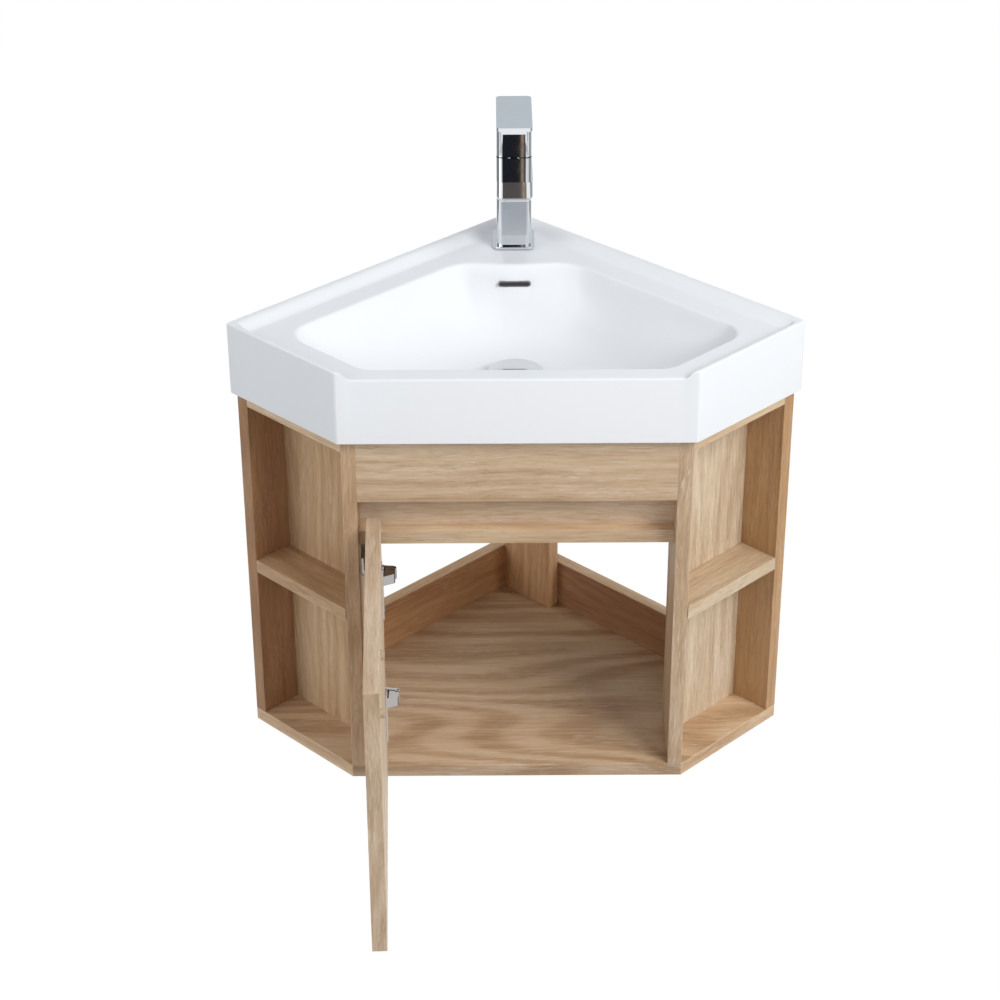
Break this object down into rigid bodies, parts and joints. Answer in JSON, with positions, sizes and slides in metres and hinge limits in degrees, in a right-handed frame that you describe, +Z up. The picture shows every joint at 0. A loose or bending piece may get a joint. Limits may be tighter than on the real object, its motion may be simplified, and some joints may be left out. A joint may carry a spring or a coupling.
{
  "type": "corner vanity unit",
  "caption": "Wall-hung corner vanity: five-sided white basin with mixer tap and click-clack waste on an oak cabinet with two open niches and a hinged door.",
  "frame": {"origin": "where the two walls meet, at the height of the cabinet's underside", "axes": "+Z up; +Y into the wall corner, so the front faces -Y; +X to the right as seen from the front"},
  "size_m": [0.5976, 0.7194, 0.645],
  "materials": {
    "oak_board": "matt oak woodgrain laminate",
    "beech": "plain",
    "white_mineral_cast": "satin white mineral cast",
    "chrome": "polished",
    "hinge_nickel": "bright nickel plate",
    "zinc_steel": "zinc plate",
    "brass": "turned",
    "rubber": "matt",
    "grey_plastic": "moulded"
  },
  "bodies": {
    "root": {"floor_panel": "oak_board", "left_end_panel": "oak_board", "right_end_panel": "oak_board", "left_niche_back": "oak_board", "right_niche_back": "oak_board", "left_partition": "oak_board", "right_partition": "oak_board", "left_niche_shelf": "oak_board", "right_niche_shelf": "oak_board", "left_niche_top": "oak_board", "right_niche_top": "oak_board", "front_rail": "oak_board", "stop_rail": "oak_board", "cross_rail": "oak_board", "left_low_rail": "oak_board", "right_low_rail": "oak_board", "left_hanging_rail": "oak_board", "right_hanging_rail": "oak_board", "corner_post": "oak_board", "carcass_screws": "zinc_steel", "dowels": "beech", "upper_hinge_plate": "hinge_nickel", "upper_hinge_arm": "hinge_nickel", "lower_hinge_plate": "hinge_nickel", "lower_hinge_arm": "hinge_nickel", "hinge_pins": "zinc_steel", "hinge_plate_screws": "zinc_steel", "hinge_arm_screws": "zinc_steel", "basin": "white_mineral_cast", "overflow_trim": "chrome", "waste_body": "chrome", "waste_washer": "rubber", "waste_nut": "grey_plastic", "waste_tail": "chrome", "tap_body": "chrome", "tap_base_plate": "chrome", "tap_gasket": "rubber", "cartridge": "grey_plastic", "cartridge_nut": "brass", "aerator_housing": "chrome", "aerator_screen": "grey_plastic", "tap_stud": "zinc_steel", "tap_washer": "zinc_steel", "tap_nut": "brass", "tap_inlets": "brass"},
    "door": {"door": "oak_board", "door_bumpers": "rubber", "upper_hinge_cup": "hinge_nickel", "lower_hinge_cup": "hinge_nickel", "hinge_cup_screws": "zinc_steel"},
    "upper_link": {"upper_hinge_link": "zinc_steel"},
    "lower_link": {"lower_hinge_link": "zinc_steel"},
    "plug": {"waste_plug": "chrome", "plug_seal": "rubber"},
    "carrier": {"stem_carrier": "grey_plastic", "stem_pin": "zinc_steel"},
    "lever": {"tap_handle": "chrome", "lever_stem": "brass", "handle_screw": "zinc_steel"}
  },
  "joints": [
    {"name": "door_swing", "type": "hinge", "parent": "root", "child": "door", "pos_m": [-0.1539, -0.40402, 0.1685], "axis": [0, 0, 1], "range_deg": [-17, 88]},
    {"name": "upper_link_turn", "type": "hinge", "parent": "root", "child": "upper_link", "pos_m": [-0.12751, -0.39052, 0.25], "axis": [0, 0, 1], "range_deg": [-23.2, 4.8]},
    {"name": "lower_link_turn", "type": "hinge", "parent": "root", "child": "lower_link", "pos_m": [-0.12751, -0.39052, 0.097], "axis": [0, 0, 1], "range_deg": [-23.2, 4.8]},
    {"name": "plug_slide", "type": "slide", "parent": "root", "child": "plug", "axis": [0, 0, 1], "range_m": [-0.007, 0]},
    {"name": "lever_turn", "type": "hinge", "parent": "root", "child": "carrier", "pos_m": [0, -0.071, 0.59], "axis": [0, 0, 1], "range_deg": [-45, 45]},
    {"name": "lever_lift", "type": "hinge", "parent": "carrier", "child": "lever", "pos_m": [0, -0.071, 0.59], "axis": [-1, 0, 0], "range_deg": [0, 18]}
  ],
  "couplings": [
    {"joint": "upper_link_turn", "follows": "door_swing", "ratio": -0.26},
    {"joint": "lower_link_turn", "follows": "door_swing", "ratio": -0.26}
  ]
}
